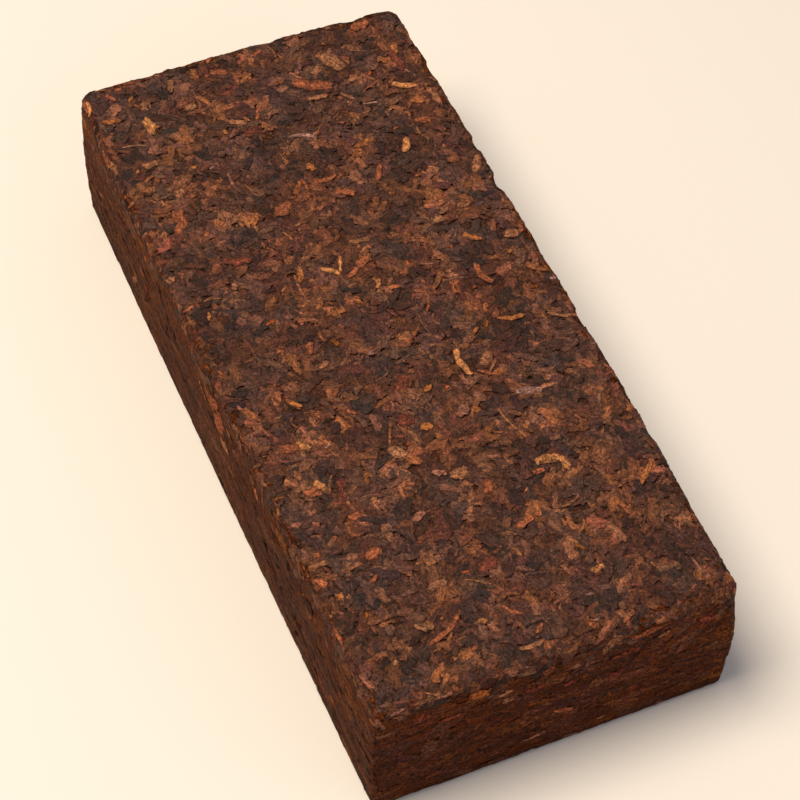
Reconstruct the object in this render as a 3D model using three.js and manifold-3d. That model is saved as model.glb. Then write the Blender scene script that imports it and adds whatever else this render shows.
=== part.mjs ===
// A brick of ripe pu erh tea: leaves steamed soft and pressed hard in a rectangular mould, shown out of its
// wrapper. It is one solid block. Its top is a mat of crumpled leaf pieces, its sides and ends are smoother
// where they slid out of the mould, and its rims and corners are worn by handling.
// Units are millimetres and +Z is up. X runs across the brick, Y along it, and the origin is the middle of
// the flat underside, so the sides at -X and at -Y are the left and the front one.

import * as THREE from 'three';
import { mergeVertices } from 'three/addons/utils/BufferGeometryUtils.js';
import Module from 'manifold-3d';

// Driving dimensions: the brick over all, leaf relief and the swell of its sides included.
const LENGTH = 180;
const WIDTH = 81;
const HEIGHT = 36;

// Form of the block.
const SIDE_SWELL = 0.6; // how far each side stands out at half height, where the pressed tea sprang back
const RIGHT_BOW = 0.5; // how far the right side bows out at half length
const LEFT_BOW = 0.4;
const BACK_BOW = 0.6;
const FRONT_BOW = 0.1;
const FRONT_CORNER_RADIUS = 1.6; // upright corners
const BACK_CORNER_RADIUS = 3.5;
const RIM_RADIUS = 1; // top rim
const WORN_RIM_RADIUS = 3.4; // top rim round the front right corner
const FOOT_RADIUS = 1; // bottom rim

// Relief of the leaves.
const FLAKE_SIZE = 3.4; // usual width of one crumpled leaf piece, and so the spacing of the relief
const TOP_RELIEF = 1.5; // from the pressed face down to the deepest crevices
const SIDE_RELIEF = 0.6;
const RIM_CALM = 4; // nearer to a rim than this the relief fades, because the mould pressed the rims tightest
const RIM_RELIEF_SHARE = 0.25; // what is left of it on the rim itself
const FLAKE_THICKNESS = 0.9;

// Leaf pieces lie across each other in layers: a layer's turn in degrees, and its pieces' length and width.
const TOP_LAYERS = [
  { turn: 35, length: 7.5, width: 3.6 },
  { turn: -50, length: 7, width: 3.4 },
];
// On the sides they were dragged level by the mould.
const SIDE_LAYERS = [{ turn: 90, length: 14, width: 4.4 }];

// Narrow strips next to the edges, so that the rounded rims have faces of their own.
const RIM_STRIPS = [0.9, 1.8];
const FOOT_STRIPS = [0.4, 0.6, 1.8];
const SIDE_ROW_HEIGHT = 4.4;
const RIM_BAND = 4.2; // grid points nearer to an edge than this keep their place
const GRID_LOOSENESS = 0.3; // how far the others stray, as a share of the spacing

// Small bites out of the right top rim where leaves have come off: place along Y, length and depth.
const RIM_BITES = [
  { y: 66, length: 7, depth: 0.9 },
  { y: 41, length: 5, depth: 1.1 },
  { y: 29, length: 6, depth: 1.3 },
  { y: -13, length: 5, depth: 0.8 },
];

// The largest single leaves and stems that lie on top: place, length, width, turn in degrees and curl.
const LARGE_FLAKES = [
  { x: -27, y: 71, length: 8, width: 4, turn: 70, curl: 1 },
  { x: 12, y: 70, length: 9, width: 3.6, turn: -25, curl: 1 },
  { x: -16, y: 50, length: 11, width: 2.4, turn: 100, curl: 4 },
  { x: 24, y: 47, length: 6, width: 3.4, turn: 75, curl: 1 },
  { x: -9, y: 37, length: 9, width: 5, turn: 30, curl: 2 },
  { x: -5, y: 17, length: 8, width: 2.6, turn: 60, curl: 4 },
  { x: 10, y: -15, length: 9, width: 2.4, turn: 80, curl: 4 },
  { x: 21, y: -28, length: 11, width: 4, turn: 5, curl: 2 },
  { x: -11, y: -33, length: 6, width: 4, turn: 40, curl: 1 },
  { x: 18, y: -46, length: 9, width: 2.8, turn: -40, curl: 6 },
  { x: 33, y: -57, length: 9, width: 2.6, turn: 45, curl: 1 },
];

// Numbers of further loose flakes fused on: flat on the top, along its rims, and on the four sides.
const TOP_FLAKES = 28;
const RIM_FLAKES = 34;
const SIDE_FLAKES = 10;
const CORNER_CLEARANCE = 6;

const wasm = await Module();
wasm.setup();

THREE.MathUtils.seededRandom(7);
const random = () => THREE.MathUtils.seededRandom();
const between = (low, high) => low + (high - low) * random();

const halfWidth = WIDTH / 2 - SIDE_SWELL;
const halfLength = LENGTH / 2 - SIDE_SWELL;

// Positions of the grid lines along one edge of the block: narrow strips at both ends, even cells between.
function gridLines(size, lowStrips, highStrips, cell) {
  const low = [0];
  lowStrips.forEach((strip) => low.push(low.at(-1) + strip));
  const high = [size];
  highStrips.forEach((strip) => high.unshift(high[0] - strip));
  const span = high[0] - low.at(-1);
  const count = Math.round(span / cell);
  const middle = Array.from({ length: count - 1 }, (_, i) => low.at(-1) + (span * (i + 1)) / count);
  return [...low, ...middle, ...high];
}

// A box without its underside, its vertices shared and moved onto the grid lines. Half of its square cells
// are split along the other diagonal, so that the faces run no one way.
function griddedBox() {
  const lines = [
    gridLines(2 * halfWidth, RIM_STRIPS, RIM_STRIPS, FLAKE_SIZE).map((x) => x - halfWidth),
    gridLines(2 * halfLength, RIM_STRIPS, RIM_STRIPS, FLAKE_SIZE).map((y) => y - halfLength),
    gridLines(HEIGHT, FOOT_STRIPS, RIM_STRIPS, SIDE_ROW_HEIGHT),
  ];
  const cells = lines.map((line) => line.length - 1);
  const box = new THREE.BoxGeometry(...cells, ...cells);
  const undersideFaces = box.groups[5];
  const kept = Array.from(box.index.array).filter(
    (_, i) => i < undersideFaces.start || i >= undersideFaces.start + undersideFaces.count,
  );
  for (let i = 0; i < kept.length; i += 6) {
    if (random() < 0.5) {
      const [a, b, d, , c] = kept.slice(i, i + 6);
      kept.splice(i, 6, a, b, c, a, c, d);
    }
  }
  box.setIndex(kept);
  box.deleteAttribute('normal');
  box.deleteAttribute('uv');
  box.clearGroups();
  const shared = mergeVertices(box);
  const position = shared.attributes.position;
  for (let i = 0; i < position.count; i++) {
    const steps = [position.getX(i), position.getY(i), position.getZ(i)].map((c, axis) =>
      Math.round(c + cells[axis] / 2),
    );
    position.setXYZ(i, ...steps.map((step, axis) => lines[axis][step]));
  }
  return shared;
}

// Turns the corner of a square into a quarter circle: the larger part stays, as the distance from the middle.
function squareToDisc(point) {
  const reach = Math.max(Math.abs(point.x), Math.abs(point.y));
  return reach > 0 ? point.clone().setLength(reach) : point.clone();
}

// 1 at the front right corner, falling to 0 over a hand's grip.
function wornShare(x, y) {
  const distance = Math.hypot(x - halfWidth, y + halfLength);
  return 1 - THREE.MathUtils.smoothstep(distance, 8, 45);
}

// Depth of the small bites at a place on the right top rim.
function biteDepth(x, y, z) {
  const towardsRight = THREE.MathUtils.smoothstep(x, halfWidth - 3, halfWidth);
  const towardsTop = THREE.MathUtils.smoothstep(z, HEIGHT - 9, HEIGHT - 2);
  const depths = RIM_BITES.map((bite) => {
    const away = THREE.MathUtils.smoothstep(Math.abs(y - bite.y), bite.length / 4, bite.length / 2);
    return bite.depth * (1 - away);
  });
  return towardsRight * towardsTop * Math.max(...depths);
}

// A number from 0 to 1 that belongs to one cell of a lattice and looks random.
function cellNumber(column, row, layer) {
  return Math.abs(Math.sin(column * 127.1 + row * 311.7 + layer * 74.7) * 43758.5453) % 1;
}

// How deep the surface lies, from 0 on a crest to 1 in a crevice: the uppermost of the leaf layers shows.
function leafDepth(across, along, layers) {
  const middle = new THREE.Vector2();
  const depths = layers.map(({ turn, length, width }, layer) => {
    const angle = THREE.MathUtils.degToRad(turn);
    const spot = new THREE.Vector2(across, along).rotateAround(middle, -angle);
    const row = Math.floor(spot.y / width);
    const column = Math.floor(spot.x / length + cellNumber(row, 0, layer));
    return cellNumber(column, row, layer + layers.length);
  });
  return Math.min(...depths);
}

// The share of the relief that is left at a point of the bare box, by its distance from the nearest rim.
function reliefShare({ x, y, z }) {
  const toSides = [halfWidth - Math.abs(x), halfLength - Math.abs(y), HEIGHT - z].sort((a, b) => a - b);
  return THREE.MathUtils.lerp(RIM_RELIEF_SHARE, 1, THREE.MathUtils.smoothstep(toSides[1], 0, RIM_CALM));
}

// Long, low waves that keep the pressed faces from being dead flat.
function waves(x, y) {
  return 0.18 * Math.sin(x / 9 + 1.3) * Math.cos(y / 14) + 0.14 * Math.sin(x / 5.3 - y / 7.1);
}

// Moves a point of the box onto the rounded, swollen block, and gives the way out of the surface there.
function shapePoint(point) {
  const { x, y, z } = point;
  const onTop = z >= HEIGHT;
  const rim = THREE.MathUtils.lerp(RIM_RADIUS, WORN_RIM_RADIUS, wornShare(x, y));
  // An upright corner grows rounder towards the top, until it is as round as the rim that it meets.
  const lowCorner = y < 0 ? FRONT_CORNER_RADIUS : BACK_CORNER_RADIUS;
  const towardsTop = THREE.MathUtils.smoothstep(z, HEIGHT / 2, HEIGHT - 4);
  const corner = THREE.MathUtils.lerp(lowCorner, Math.max(lowCorner, rim), towardsTop);
  const core = new THREE.Vector2(
    THREE.MathUtils.clamp(x, corner - halfWidth, halfWidth - corner),
    THREE.MathUtils.clamp(y, corner - halfLength, halfLength - corner),
  );
  const out = squareToDisc(new THREE.Vector2(x, y).sub(core));
  const outDistance = out.length();
  const outward = outDistance > 0 ? out.clone().normalize() : new THREE.Vector2();

  const fromRimCore = new THREE.Vector2(outDistance - (corner - rim), z - (HEIGHT - rim));
  let distance = outDistance;
  let height = z;
  let normal = onTop ? new THREE.Vector3(0, 0, 1) : new THREE.Vector3(outward.x, outward.y, 0);
  if (fromRimCore.x > 0 && fromRimCore.y > 0) {
    const rounded = squareToDisc(fromRimCore);
    distance = corner - rim + rounded.x;
    height = HEIGHT - rim + rounded.y;
    normal = new THREE.Vector3(outward.x * rounded.x, outward.y * rounded.x, rounded.y).normalize();
  }
  if (z < FOOT_RADIUS) {
    distance -= FOOT_RADIUS - Math.sqrt(FOOT_RADIUS ** 2 - (FOOT_RADIUS - z) ** 2);
  }
  const swell = onTop ? 0 : SIDE_SWELL * (1 - (2 * z / HEIGHT - 1) ** 2);
  const place = core.addScaledVector(outward, distance + swell - biteDepth(x, y, z));

  const alongShare = 1 - (y / halfLength) ** 2;
  const acrossShare = 1 - (x / halfWidth) ** 2;
  place.x += (x > 0 ? RIGHT_BOW : LEFT_BOW) * alongShare * (x / halfWidth);
  place.y += (y > 0 ? BACK_BOW : FRONT_BOW) * acrossShare * (y / halfLength);
  return { place: new THREE.Vector3(place.x, place.y, height), normal };
}

// Closes the open underside with a fan of triangles round its middle.
function closeUnderside(geometry) {
  const position = geometry.attributes.position;
  const nextOf = new Map();
  const index = Array.from(geometry.index.array);
  const edges = new Set();
  for (let i = 0; i < index.length; i += 3) {
    for (let k = 0; k < 3; k++) {
      edges.add(`${index[i + k]},${index[i + ((k + 1) % 3)]}`);
    }
  }
  edges.forEach((edge) => {
    const [from, to] = edge.split(',').map(Number);
    if (!edges.has(`${to},${from}`)) {
      nextOf.set(to, from);
    }
  });
  const middle = position.count;
  nextOf.forEach((to, from) => index.push(from, to, middle));
  const closed = new THREE.BufferGeometry();
  closed.setAttribute('position', new THREE.Float32BufferAttribute([...position.array, 0, 0, 0], 3));
  closed.setIndex(index);
  return closed;
}

// The pressed block: rounded, swollen, and roughened by bumps and pits of the size of its leaf pieces.
function pressedBlock() {
  const box = griddedBox();
  const position = box.attributes.position;
  for (let i = 0; i < position.count; i++) {
    const point = new THREE.Vector3().fromBufferAttribute(position, i);
    const slide = new THREE.Vector3(between(-1, 1), between(-1, 1), between(-1, 1));
    slide.multiplyScalar(GRID_LOOSENESS * FLAKE_SIZE);
    point.x += Math.abs(point.x) < halfWidth - RIM_BAND ? slide.x : 0;
    point.y += Math.abs(point.y) < halfLength - RIM_BAND ? slide.y : 0;
    point.z += point.z > RIM_BAND && point.z < HEIGHT - RIM_BAND ? slide.z : 0;
    const { place, normal } = shapePoint(point);
    if (point.z > 0) {
      const top = leafDepth(place.x, place.y, TOP_LAYERS) * TOP_RELIEF - waves(place.x, place.y);
      const side = leafDepth(place.z, place.x + place.y, SIDE_LAYERS) * SIDE_RELIEF;
      place.addScaledVector(normal, -THREE.MathUtils.lerp(side, top, normal.z) * reliefShare(point));
    }
    position.setXYZ(i, ...place);
  }
  return closeUnderside(box);
}

// A crumpled leaf piece: pointed at both ends, bent sideways by its curl.
function leafFlake({ length, width, curl }) {
  const outline = new THREE.Shape();
  outline.moveTo(-length / 2, 0);
  outline.quadraticCurveTo(0, curl + width, length / 2, 0);
  outline.quadraticCurveTo(0, curl - width, -length / 2, 0);
  const flake = new THREE.ExtrudeGeometry(outline, {
    depth: FLAKE_THICKNESS,
    bevelEnabled: false,
    curveSegments: 3,
  });
  return flake.translate(0, -curl / 2, -FLAKE_THICKNESS / 2);
}

// Lays a flake on the block at a point of the bare box, turned about the way out and tipped a little.
function layFlake(flake, boxPoint, turn, tip, sink) {
  const { place, normal } = shapePoint(boxPoint);
  const facing = new THREE.Quaternion().setFromUnitVectors(new THREE.Vector3(0, 0, 1), normal);
  const turning = new THREE.Euler(tip, 0, THREE.MathUtils.degToRad(turn), 'ZXY');
  facing.multiply(new THREE.Quaternion().setFromEuler(turning));
  place.addScaledVector(normal, -sink);
  return flake.applyQuaternion(facing).translate(...place);
}

function randomFlake() {
  const width = between(2, 3.4);
  return leafFlake({ length: width * between(1.8, 3.2), width, curl: between(-2, 2) });
}

// Every flake that is fused to the block.
function looseFlakes() {
  const large = LARGE_FLAKES.map((flake) =>
    layFlake(leafFlake(flake), new THREE.Vector3(flake.x, flake.y, HEIGHT), flake.turn, 0.04, 0.3),
  );
  const onTop = Array.from({ length: TOP_FLAKES }, () => {
    const spot = new THREE.Vector3(between(-0.9, 0.9) * halfWidth, between(-0.95, 0.95) * halfLength, HEIGHT);
    return layFlake(randomFlake(), spot, between(0, 180), between(-0.12, 0.12), 0.4);
  });
  const onRims = Array.from({ length: RIM_FLAKES }, (_, i) => {
    const spot = rimPoint((i + between(0.2, 0.8)) / RIM_FLAKES, between(0, 2));
    return layFlake(randomFlake(), spot, rimTurn(spot) + between(-20, 20), between(-0.15, 0.15), 0.5);
  });
  const onSides = Array.from({ length: SIDE_FLAKES }, (_, i) => {
    const spot = rimPoint((i + between(0.1, 0.9)) / SIDE_FLAKES, 0).setZ(between(0.25, 0.85) * HEIGHT);
    return layFlake(randomFlake(), spot, rimTurn(spot) + between(-15, 15), between(-0.08, 0.08), 0.4);
  });
  return [...large, ...onTop, ...onRims, ...onSides];
}

// The point at a share of the way round the top rim, from the front left corner, and a step in from the rim.
// Flakes keep off the upright corners, where they would stick out.
function rimPoint(share, inset) {
  const x = halfWidth - CORNER_CLEARANCE;
  const y = halfLength - CORNER_CLEARANCE;
  const run = share * 4 * (x + y);
  const alongFront = Math.min(run, 2 * x) - x;
  const alongRight = Math.min(run - 2 * x, 2 * y) - y;
  const alongBack = x - Math.min(run - 2 * x - 2 * y, 2 * x);
  const alongLeft = y - (run - 4 * x - 2 * y);
  if (run < 2 * x) {
    return new THREE.Vector3(alongFront, inset - halfLength, HEIGHT);
  }
  if (run < 2 * x + 2 * y) {
    return new THREE.Vector3(halfWidth - inset, alongRight, HEIGHT);
  }
  if (run < 4 * x + 2 * y) {
    return new THREE.Vector3(alongBack, halfLength - inset, HEIGHT);
  }
  return new THREE.Vector3(inset - halfWidth, alongLeft, HEIGHT);
}

// The turn that lays a flake along the rim nearest to a point.
function rimTurn(point) {
  return halfWidth - Math.abs(point.x) < halfLength - Math.abs(point.y) ? 90 : 0;
}

function toSolid(geometry) {
  geometry.deleteAttribute('normal');
  geometry.deleteAttribute('uv');
  const merged = mergeVertices(geometry);
  const mesh = new wasm.Mesh({
    numProp: 3,
    vertProperties: new Float32Array(merged.attributes.position.array),
    triVerts: new Uint32Array(merged.index.array),
  });
  return new wasm.Manifold(mesh);
}

// The block and its flakes as one closed body. A hollow that a flake sealed, or a loose scrap, is left out.
function fuse(block, flakes) {
  const joined = flakes.reduce((solid, flake) => solid.add(toSolid(flake)), toSolid(block));
  const outside = joined.decompose().reduce((a, b) => (a.volume() > b.volume() ? a : b));
  const mesh = outside.getMesh();
  const geometry = new THREE.BufferGeometry();
  geometry.setAttribute('position', new THREE.Float32BufferAttribute(mesh.vertProperties, 3));
  geometry.setIndex(Array.from(mesh.triVerts));
  return geometry;
}

// Brings the finished body to its driving dimensions, standing on the origin.
function fitToSize(geometry) {
  geometry.computeBoundingBox();
  const size = geometry.boundingBox.getSize(new THREE.Vector3());
  const centre = geometry.boundingBox.getCenter(new THREE.Vector3());
  geometry.translate(-centre.x, -centre.y, -geometry.boundingBox.min.z);
  return geometry.scale(WIDTH / size.x, LENGTH / size.y, HEIGHT / size.z);
}

const pressedTea = new THREE.MeshStandardMaterial({
  color: 0x2e1a12,
  roughness: 0.75,
  metalness: 0,
  flatShading: true,
});

const brickGeometry = fitToSize(fuse(pressedBlock(), looseFlakes()));
brickGeometry.computeVertexNormals();
const brick = new THREE.Mesh(brickGeometry, pressedTea);
brick.name = 'tea_brick';

const group = new THREE.Group();
group.add(brick);

export default group;
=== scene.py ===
"""A pressed brick of ripe pu erh tea, out of its wrapper, on a pale studio floor."""

import math
from types import SimpleNamespace

import bmesh
import bpy
import numpy as np
from mathutils import Matrix, Vector, noise


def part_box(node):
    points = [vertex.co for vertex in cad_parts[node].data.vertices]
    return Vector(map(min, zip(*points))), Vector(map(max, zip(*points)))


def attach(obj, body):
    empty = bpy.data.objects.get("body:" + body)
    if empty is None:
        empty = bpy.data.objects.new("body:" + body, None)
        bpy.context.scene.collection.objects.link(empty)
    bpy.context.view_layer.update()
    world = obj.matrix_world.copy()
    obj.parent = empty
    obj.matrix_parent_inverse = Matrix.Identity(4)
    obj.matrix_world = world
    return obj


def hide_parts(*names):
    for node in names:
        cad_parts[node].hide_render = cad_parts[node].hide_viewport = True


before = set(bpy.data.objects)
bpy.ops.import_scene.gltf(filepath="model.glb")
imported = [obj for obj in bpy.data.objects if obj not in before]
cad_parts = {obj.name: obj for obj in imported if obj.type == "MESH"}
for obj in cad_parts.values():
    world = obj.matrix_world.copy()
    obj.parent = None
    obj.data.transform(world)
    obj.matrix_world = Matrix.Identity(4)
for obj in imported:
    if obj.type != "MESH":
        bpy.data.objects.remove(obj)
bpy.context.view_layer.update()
mm = 0.001

# ---------------------------------------------------------------------------------------------------------
# The camera
# A narrow portrait lens looks down on the brick from its front left, turned a little about its own axis.
# The stand is given from the middle of the underside.
camera_stand = Vector((-136.7, -302.1, 439.6)) * mm
camera_azimuth = math.radians(24.98)
camera_elevation = math.radians(52.40)
camera_roll = math.radians(2.45)

bpy.ops.object.select_all(action="DESELECT")
bpy.ops.object.camera_add(location=camera_stand)
camera = bpy.context.object
camera.name = "camera"
camera.data.sensor_width = 36.0
camera.data.lens = 110.4
camera.data.clip_start = 0.01
camera.data.clip_end = 20.0
turn = Matrix.Rotation(-camera_azimuth, 4, "Z")
tip = Matrix.Rotation(math.pi / 2 - camera_elevation, 4, "X")
roll = Matrix.Rotation(camera_roll, 4, "Z")
camera.matrix_world = Matrix.Translation(camera_stand) @ turn @ tip @ roll
bpy.context.scene.camera = camera

# ---------------------------------------------------------------------------------------------------------
# The mould
# Steamed leaves are pressed hard in a rectangular mould, and spring back a little when it opens: the sides
# swell and bow. Handling has rubbed the top round at the front right corner and bitten the rims.
low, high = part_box("tea_brick")
height = high.z - low.z
loose_stand = 0.2 * mm  # how far a loose flake may stand out of the pressed face
side_swell = 0.6 * mm
right_bow, left_bow, back_bow, front_bow = 0.35 * mm, 0.35 * mm, 0.6 * mm, 0.0 * mm
half_width = (high.x - low.x) / 2 - loose_stand - side_swell - right_bow
half_length = (high.y - low.y) / 2 - loose_stand - side_swell - back_bow
mould_top = high.z - 0.25 * mm  # the pressed face, under the flakes that stand highest
front_corner_radius = 1.3 * mm
back_corner_radius = 3.5 * mm
rim_radius = 1.0 * mm
worn_rim_radius = 3.4 * mm
worn_reach = (8 * mm, 45 * mm)  # how far from the front right corner the wear is still full, and ends
crumbled_rim = 1.3 * mm  # how much rounder the top rim is where small leaves have dropped off it
crumble_waves = (2.3, 5.9)  # two waves along the rim, in mm to the radian: it crumbled where they agree
foot_radius = 0.8 * mm
# Bites out of the right top rim where leaves have come off: place along Y, length and depth, in millimetres.
rim_bites = [(66, 7, 0.5), (41, 5, 0.6), (29, 6, 0.8), (-13, 5, 0.5)]
bite_start, bite_full = 8, 1  # how far below the top they begin and are deepest, in millimetres


def smooth_step(value, start, end):
    share = np.clip((value - start) / (end - start), 0, 1)
    return share * share * (3 - 2 * share)


def wear(points):
    """1 at the front right corner of the top, falling to 0 over a hand's grip."""
    away = np.hypot(points[:, 0] - half_width, points[:, 1] + half_length)
    return 1 - smooth_step(away, *worn_reach)


def bite_depth(points):
    """How deep the bites in the right top rim are at each point, in metres."""
    x, y, z = points.T / mm
    top = mould_top / mm
    depths = [
        depth * (1 - smooth_step(np.abs(y - at), length / 4, length / 2)) for at, length, depth in rim_bites
    ]
    return np.max(depths, axis=0) * (x > 0) * smooth_step(z, top - bite_start, top - bite_full) * mm


def mould_gap(points):
    """How far points lie outside the face of the mould, in metres: negative inside the pressed tea."""
    x, y, z = points.T
    level = np.clip(z / mould_top, 0, 1)
    swell = side_swell * (1 - (2 * level - 1) ** 2)
    side = swell + np.where(x > 0, right_bow, left_bow) * (1 - (y / half_length) ** 2) - bite_depth(points)
    end = swell + np.where(y > 0, back_bow, front_bow) * (1 - (x / half_width) ** 2)
    run = (x + y) / mm
    short_wave, long_wave = crumble_waves
    crumbled = crumbled_rim * np.clip(np.sin(run / short_wave + 1) * np.sin(run / long_wave + 0.4), 0, 1)
    top_rim = rim_radius + crumbled + (worn_rim_radius - rim_radius) * wear(points)
    low_corner = np.where(y < 0, front_corner_radius, back_corner_radius)
    # Near the top an upright corner is at least as round as the rim above it.
    rounder = np.maximum(top_rim - low_corner, 0) * smooth_step(z, mould_top / 2, mould_top - 4 * mm)
    corner = low_corner + rounder
    past_x = np.abs(x) - side - (half_width - corner)
    past_y = np.abs(y) - end - (half_length - corner)
    plan = np.hypot(np.maximum(past_x, 0), np.maximum(past_y, 0))
    plan = plan + np.minimum(np.maximum(past_x, past_y), 0) - corner
    rim = np.where(z > mould_top / 2, top_rim, foot_radius)
    past_plan = plan + rim
    past_level = np.abs(z - mould_top / 2) - mould_top / 2 + rim
    round_gap = np.hypot(np.maximum(past_plan, 0), np.maximum(past_level, 0))
    return round_gap + np.minimum(np.maximum(past_plan, past_level), 0) - rim


def way_out(points):
    """The direction straight out of the mould's face at each point."""
    step = 0.05 * mm
    slopes = [mould_gap(points + step * axis) - mould_gap(points - step * axis) for axis in np.eye(3)]
    slopes = np.stack(slopes, axis=1)
    return slopes / np.linalg.norm(slopes, axis=1, keepdims=True)


def onto_mould(points, stand):
    """Moves points straight in or out until they stand that far out of the mould's face."""
    for _ in range(3):
        points = points + way_out(points) * (stand - mould_gap(points))[:, None]
    return points


# ---------------------------------------------------------------------------------------------------------
# The pressed block
# The leaf dust and small leaf deep in the brick set to one dense, dark body. It shows only between the
# leaves that are pressed into its faces.
core_cell = 0.8 * mm
core_depth = 0.6 * mm  # how far in from the mould's face the body lies, on the top and the underside
side_depth = 0.38 * mm  # and on the sides
lump_size = (3 * mm, 3 * mm, 2.5 * mm)
top_lump, side_lump = 0.3 * mm, 0.15 * mm  # how high its lumps are
dust_size = 0.9 * mm


def noise_in(points, size, seed):
    """Smooth noise from -1 to 1 at points in any array, with lumps of the given sizes along X, Y and Z."""
    scaled = points.reshape(-1, 3) / np.array(size) + seed
    return np.array([noise.noise(Vector(p)) for p in scaled]).reshape(points.shape[:-1])


def in_edit_mode(kind, chosen, *operators):
    """Selects the active mesh's chosen verts or edges, and runs the operators on them in edit mode."""
    bpy.ops.object.mode_set(mode="EDIT")
    bpy.ops.mesh.select_all(action="DESELECT")
    edit = bmesh.from_edit_mesh(bpy.context.object.data)
    for element in getattr(edit, kind):
        element.select_set(chosen(element))
    edit.select_flush_mode()
    bmesh.update_edit_mesh(bpy.context.object.data)
    for operator, settings in operators:
        operator(**settings)
    bpy.ops.object.mode_set(mode="OBJECT")


def upright(edge):
    return abs(edge.verts[0].co.z - edge.verts[1].co.z) > height / 2


def on_a_rim(edge):
    normals = [face.normal for face in edge.link_faces]
    return not upright(edge) and abs(normals[0].dot(normals[1])) < 0.1


def add_values(mesh, label, values):
    """Keeps one number for each point of a mesh, for its material to read."""
    mesh.attributes.new(label, "FLOAT", "POINT").data.foreach_set("value", values.astype(np.float32))


bpy.ops.object.select_all(action="DESELECT")
bpy.ops.mesh.primitive_cube_add(size=1, location=(0, 0, mould_top / 2))
core = bpy.context.object
core.name = "pressed_core"
core.scale = (2 * half_width, 2 * half_length, mould_top)
bpy.ops.object.transform_apply(location=True, rotation=True, scale=True)
in_edit_mode("edges", upright, (bpy.ops.mesh.bevel, {"offset": front_corner_radius, "segments": 4}))
in_edit_mode("edges", on_a_rim, (bpy.ops.mesh.bevel, {"offset": rim_radius, "segments": 3}))
remesh = core.modifiers.new("even_cells", "REMESH")
remesh.mode = "VOXEL"
remesh.voxel_size = core_cell
bpy.ops.object.modifier_apply(modifier=remesh.name)

core_points = np.array([v.co for v in core.data.vertices])
facing_up = np.abs(way_out(core_points)[:, 2]) ** 2
lumps = noise_in(core_points, lump_size, 1.9)
stand = (side_lump * lumps - side_depth) * (1 - facing_up) + facing_up * (top_lump * lumps - core_depth)
core.data.vertices.foreach_set("co", onto_mould(core_points, stand).astype(np.float32).ravel())
core.data.update()
bpy.ops.object.shade_smooth()
# Its depth below the face, which its material paints as shade.
add_values(core.data, "depth_shade", -stand / mm)


def linear(hex_colour):
    """An sRGB colour such as #5a3424 as the linear values that Blender's nodes take."""
    parts = [int(hex_colour[i : i + 2], 16) / 255 for i in (1, 3, 5)]
    return [p / 12.92 if p <= 0.04045 else ((p + 0.055) / 1.055) ** 2.4 for p in parts] + [1.0]


def add_node(material, kind, inputs=None, stops=(), **settings):
    """Adds a node with its settings. Each named input takes a value, or a link from another node's output."""
    tree = material.node_tree
    node = tree.nodes.new(kind)
    for name, value in settings.items():
        setattr(node, name, value)
    for name, value in (inputs or {}).items():
        if isinstance(value, bpy.types.NodeSocket):
            tree.links.new(value, node.inputs[name])
        else:
            node.inputs[name].default_value = value
    for i, (place, colour) in enumerate(stops):
        stop = node.color_ramp.elements[i] if i < 2 else node.color_ramp.elements.new(place)
        stop.position, stop.color = place, linear(colour)
    return node


def body_material():
    """Compacted leaf dust: dull red brown crumbs under a millimetre, painted darker where deep, as shade."""
    material = bpy.data.materials.new("pressed_tea_dust")
    material.use_nodes = True
    material.node_tree.nodes.clear()
    place = add_node(material, "ShaderNodeTexCoord").outputs["Object"]
    depth_shade = add_node(material, "ShaderNodeAttribute", attribute_name="depth_shade").outputs["Fac"]
    crumb_place = add_node(
        material, "ShaderNodeMapping", {"Vector": place, "Scale": [1 / dust_size] * 3}
    ).outputs["Vector"]
    crumb = add_node(
        material, "ShaderNodeTexNoise", {"Vector": crumb_place, "Scale": 1.0, "Detail": 3.0, "Roughness": 0.8}
    ).outputs["Fac"]
    tone = add_node(
        material,
        "ShaderNodeValToRGB",
        {"Fac": crumb},
        stops=[(0.3, "#2f1b12"), (0.72, "#7b4b34"), (0.5, "#4f2f21")],
    ).outputs["Color"]
    # Painted shade: the deeper the body lies, the darker.
    deep_shade = add_node(
        material,
        "ShaderNodeMapRange",
        {"Value": depth_shade, "From Min": 0.1, "From Max": 0.7, "To Min": 1.0, "To Max": 0.45},
    ).outputs["Result"]
    shaded = add_node(
        material, "ShaderNodeVectorMath", {"Vector": tone, "Scale": deep_shade}, operation="SCALE"
    ).outputs["Vector"]
    bump = add_node(material, "ShaderNodeBump", {"Height": crumb, "Strength": 0.8, "Distance": 0.2 * mm})
    normal = bump.outputs["Normal"]
    shader = add_node(
        material,
        "ShaderNodeBsdfPrincipled",
        {"Base Color": shaded, "Roughness": 0.8, "Specular IOR Level": 0.05, "Normal": normal},
    )
    add_node(material, "ShaderNodeOutputMaterial", {"Surface": shader.outputs["BSDF"]})
    return material


core.data.materials.append(body_material())
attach(core, "root")
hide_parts("tea_brick")

# ---------------------------------------------------------------------------------------------------------
# The broad leaf on the top
# Ripe pu erh is small leaf, broken by rolling and turned in damp heaps. Most of it is flat shards, creased
# along the vein, a few millimetres long. Pressing lays them flat and locks them into one another.
draw = np.random.default_rng(11)


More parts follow.
